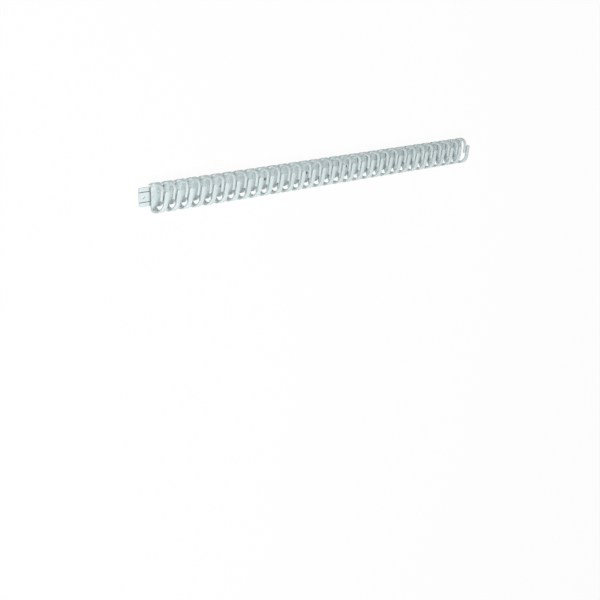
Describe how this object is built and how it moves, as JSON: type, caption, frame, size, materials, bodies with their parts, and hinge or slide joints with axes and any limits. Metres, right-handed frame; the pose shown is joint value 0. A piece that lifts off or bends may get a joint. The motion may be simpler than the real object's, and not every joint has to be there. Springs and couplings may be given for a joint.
{
  "type": "flexible cable trunking",
  "caption": "Flexible cable trunking: a chain of moulded plastic links with interleaved fingers round an open channel, each link swinging on a snap pivot in the base.",
  "frame": {"origin": "middle of the wall face, half way along the straight trunking", "axes": "+X along the trunking away from the bare tab, +Y across it towards the hoods, +Z away from the wall"},
  "size_m": [0.4992, 0.0328, 0.022],
  "materials": {
    "plastic": "satin moulded polypropylene"
  },
  "bodies": {
    "link_01": {"link_01": "plastic"},
    "fixing_link_02": {"fixing_link_02": "plastic"},
    "link_03": {"link_03": "plastic"},
    "link_04": {"link_04": "plastic"},
    "link_05": {"link_05": "plastic"},
    "fixing_link_06": {"fixing_link_06": "plastic"},
    "link_07": {"link_07": "plastic"},
    "link_08": {"link_08": "plastic"},
    "link_09": {"link_09": "plastic"},
    "fixing_link_10": {"fixing_link_10": "plastic"},
    "link_11": {"link_11": "plastic"},
    "link_12": {"link_12": "plastic"},
    "link_13": {"link_13": "plastic"},
    "fixing_link_14": {"fixing_link_14": "plastic"},
    "link_15": {"link_15": "plastic"},
    "link_16": {"link_16": "plastic"},
    "link_17": {"link_17": "plastic"},
    "fixing_link_18": {"fixing_link_18": "plastic"},
    "link_19": {"link_19": "plastic"},
    "link_20": {"link_20": "plastic"},
    "link_21": {"link_21": "plastic"},
    "fixing_link_22": {"fixing_link_22": "plastic"},
    "link_23": {"link_23": "plastic"},
    "link_24": {"link_24": "plastic"},
    "link_25": {"link_25": "plastic"},
    "fixing_link_26": {"fixing_link_26": "plastic"},
    "link_27": {"link_27": "plastic"},
    "link_28": {"link_28": "plastic"},
    "link_29": {"link_29": "plastic"},
    "fixing_link_30": {"fixing_link_30": "plastic"},
    "link_31": {"link_31": "plastic"}
  },
  "joints": [
    {"name": "pivot_01_02", "type": "hinge", "parent": "fixing_link_02", "child": "link_01", "pos_m": [-0.229, 0, 0.001], "axis": [0, 0, 1], "range_deg": [-8, 8]},
    {"name": "pivot_02_03", "type": "hinge", "parent": "link_03", "child": "fixing_link_02", "pos_m": [-0.2133, 0, 0.001], "axis": [0, 0, 1], "range_deg": [-8, 8]},
    {"name": "pivot_03_04", "type": "hinge", "parent": "link_04", "child": "link_03", "pos_m": [-0.1976, 0, 0.001], "axis": [0, 0, 1], "range_deg": [-8, 8]},
    {"name": "pivot_04_05", "type": "hinge", "parent": "link_05", "child": "link_04", "pos_m": [-0.1819, 0, 0.001], "axis": [0, 0, 1], "range_deg": [-8, 8]},
    {"name": "pivot_05_06", "type": "hinge", "parent": "fixing_link_06", "child": "link_05", "pos_m": [-0.1662, 0, 0.001], "axis": [0, 0, 1], "range_deg": [-8, 8]},
    {"name": "pivot_06_07", "type": "hinge", "parent": "link_07", "child": "fixing_link_06", "pos_m": [-0.1505, 0, 0.001], "axis": [0, 0, 1], "range_deg": [-8, 8]},
    {"name": "pivot_07_08", "type": "hinge", "parent": "link_08", "child": "link_07", "pos_m": [-0.1348, 0, 0.001], "axis": [0, 0, 1], "range_deg": [-8, 8]},
    {"name": "pivot_08_09", "type": "hinge", "parent": "link_09", "child": "link_08", "pos_m": [-0.1191, 0, 0.001], "axis": [0, 0, 1], "range_deg": [-8, 8]},
    {"name": "pivot_09_10", "type": "hinge", "parent": "fixing_link_10", "child": "link_09", "pos_m": [-0.1034, 0, 0.001], "axis": [0, 0, 1], "range_deg": [-8, 8]},
    {"name": "pivot_10_11", "type": "hinge", "parent": "link_11", "child": "fixing_link_10", "pos_m": [-0.0877, 0, 0.001], "axis": [0, 0, 1], "range_deg": [-8, 8]},
    {"name": "pivot_11_12", "type": "hinge", "parent": "link_12", "child": "link_11", "pos_m": [-0.072, 0, 0.001], "axis": [0, 0, 1], "range_deg": [-8, 8]},
    {"name": "pivot_12_13", "type": "hinge", "parent": "link_13", "child": "link_12", "pos_m": [-0.0563, 0, 0.001], "axis": [0, 0, 1], "range_deg": [-8, 8]},
    {"name": "pivot_13_14", "type": "hinge", "parent": "fixing_link_14", "child": "link_13", "pos_m": [-0.0406, 0, 0.001], "axis": [0, 0, 1], "range_deg": [-8, 8]},
    {"name": "pivot_14_15", "type": "hinge", "parent": "link_15", "child": "fixing_link_14", "pos_m": [-0.0249, 0, 0.001], "axis": [0, 0, 1], "range_deg": [-8, 8]},
    {"name": "pivot_15_16", "type": "hinge", "parent": "link_16", "child": "link_15", "pos_m": [-0.0092, 0, 0.001], "axis": [0, 0, 1], "range_deg": [-8, 8]},
    {"name": "pivot_16_17", "type": "hinge", "parent": "link_16", "child": "link_17", "pos_m": [0.0065, 0, 0.001], "axis": [0, 0, 1], "range_deg": [-8, 8]},
    {"name": "pivot_17_18", "type": "hinge", "parent": "link_17", "child": "fixing_link_18", "pos_m": [0.0222, 0, 0.001], "axis": [0, 0, 1], "range_deg": [-8, 8]},
    {"name": "pivot_18_19", "type": "hinge", "parent": "fixing_link_18", "child": "link_19", "pos_m": [0.0379, 0, 0.001], "axis": [0, 0, 1], "range_deg": [-8, 8]},
    {"name": "pivot_19_20", "type": "hinge", "parent": "link_19", "child": "link_20", "pos_m": [0.0536, 0, 0.001], "axis": [0, 0, 1], "range_deg": [-8, 8]},
    {"name": "pivot_20_21", "type": "hinge", "parent": "link_20", "child": "link_21", "pos_m": [0.0693, 0, 0.001], "axis": [0, 0, 1], "range_deg": [-8, 8]},
    {"name": "pivot_21_22", "type": "hinge", "parent": "link_21", "child": "fixing_link_22", "pos_m": [0.085, 0, 0.001], "axis": [0, 0, 1], "range_deg": [-8, 8]},
    {"name": "pivot_22_23", "type": "hinge", "parent": "fixing_link_22", "child": "link_23", "pos_m": [0.1007, 0, 0.001], "axis": [0, 0, 1], "range_deg": [-8, 8]},
    {"name": "pivot_23_24", "type": "hinge", "parent": "link_23", "child": "link_24", "pos_m": [0.1164, 0, 0.001], "axis": [0, 0, 1], "range_deg": [-8, 8]},
    {"name": "pivot_24_25", "type": "hinge", "parent": "link_24", "child": "link_25", "pos_m": [0.1321, 0, 0.001], "axis": [0, 0, 1], "range_deg": [-8, 8]},
    {"name": "pivot_25_26", "type": "hinge", "parent": "link_25", "child": "fixing_link_26", "pos_m": [0.1478, 0, 0.001], "axis": [0, 0, 1], "range_deg": [-8, 8]},
    {"name": "pivot_26_27", "type": "hinge", "parent": "fixing_link_26", "child": "link_27", "pos_m": [0.1635, 0, 0.001], "axis": [0, 0, 1], "range_deg": [-8, 8]},
    {"name": "pivot_27_28", "type": "hinge", "parent": "link_27", "child": "link_28", "pos_m": [0.1792, 0, 0.001], "axis": [0, 0, 1], "range_deg": [-8, 8]},
    {"name": "pivot_28_29", "type": "hinge", "parent": "link_28", "child": "link_29", "pos_m": [0.1949, 0, 0.001], "axis": [0, 0, 1], "range_deg": [-8, 8]},
    {"name": "pivot_29_30", "type": "hinge", "parent": "link_29", "child": "fixing_link_30", "pos_m": [0.2106, 0, 0.001], "axis": [0, 0, 1], "range_deg": [-8, 8]},
    {"name": "pivot_30_31", "type": "hinge", "parent": "fixing_link_30", "child": "link_31", "pos_m": [0.2263, 0, 0.001], "axis": [0, 0, 1], "range_deg": [-8, 8]}
  ]
}
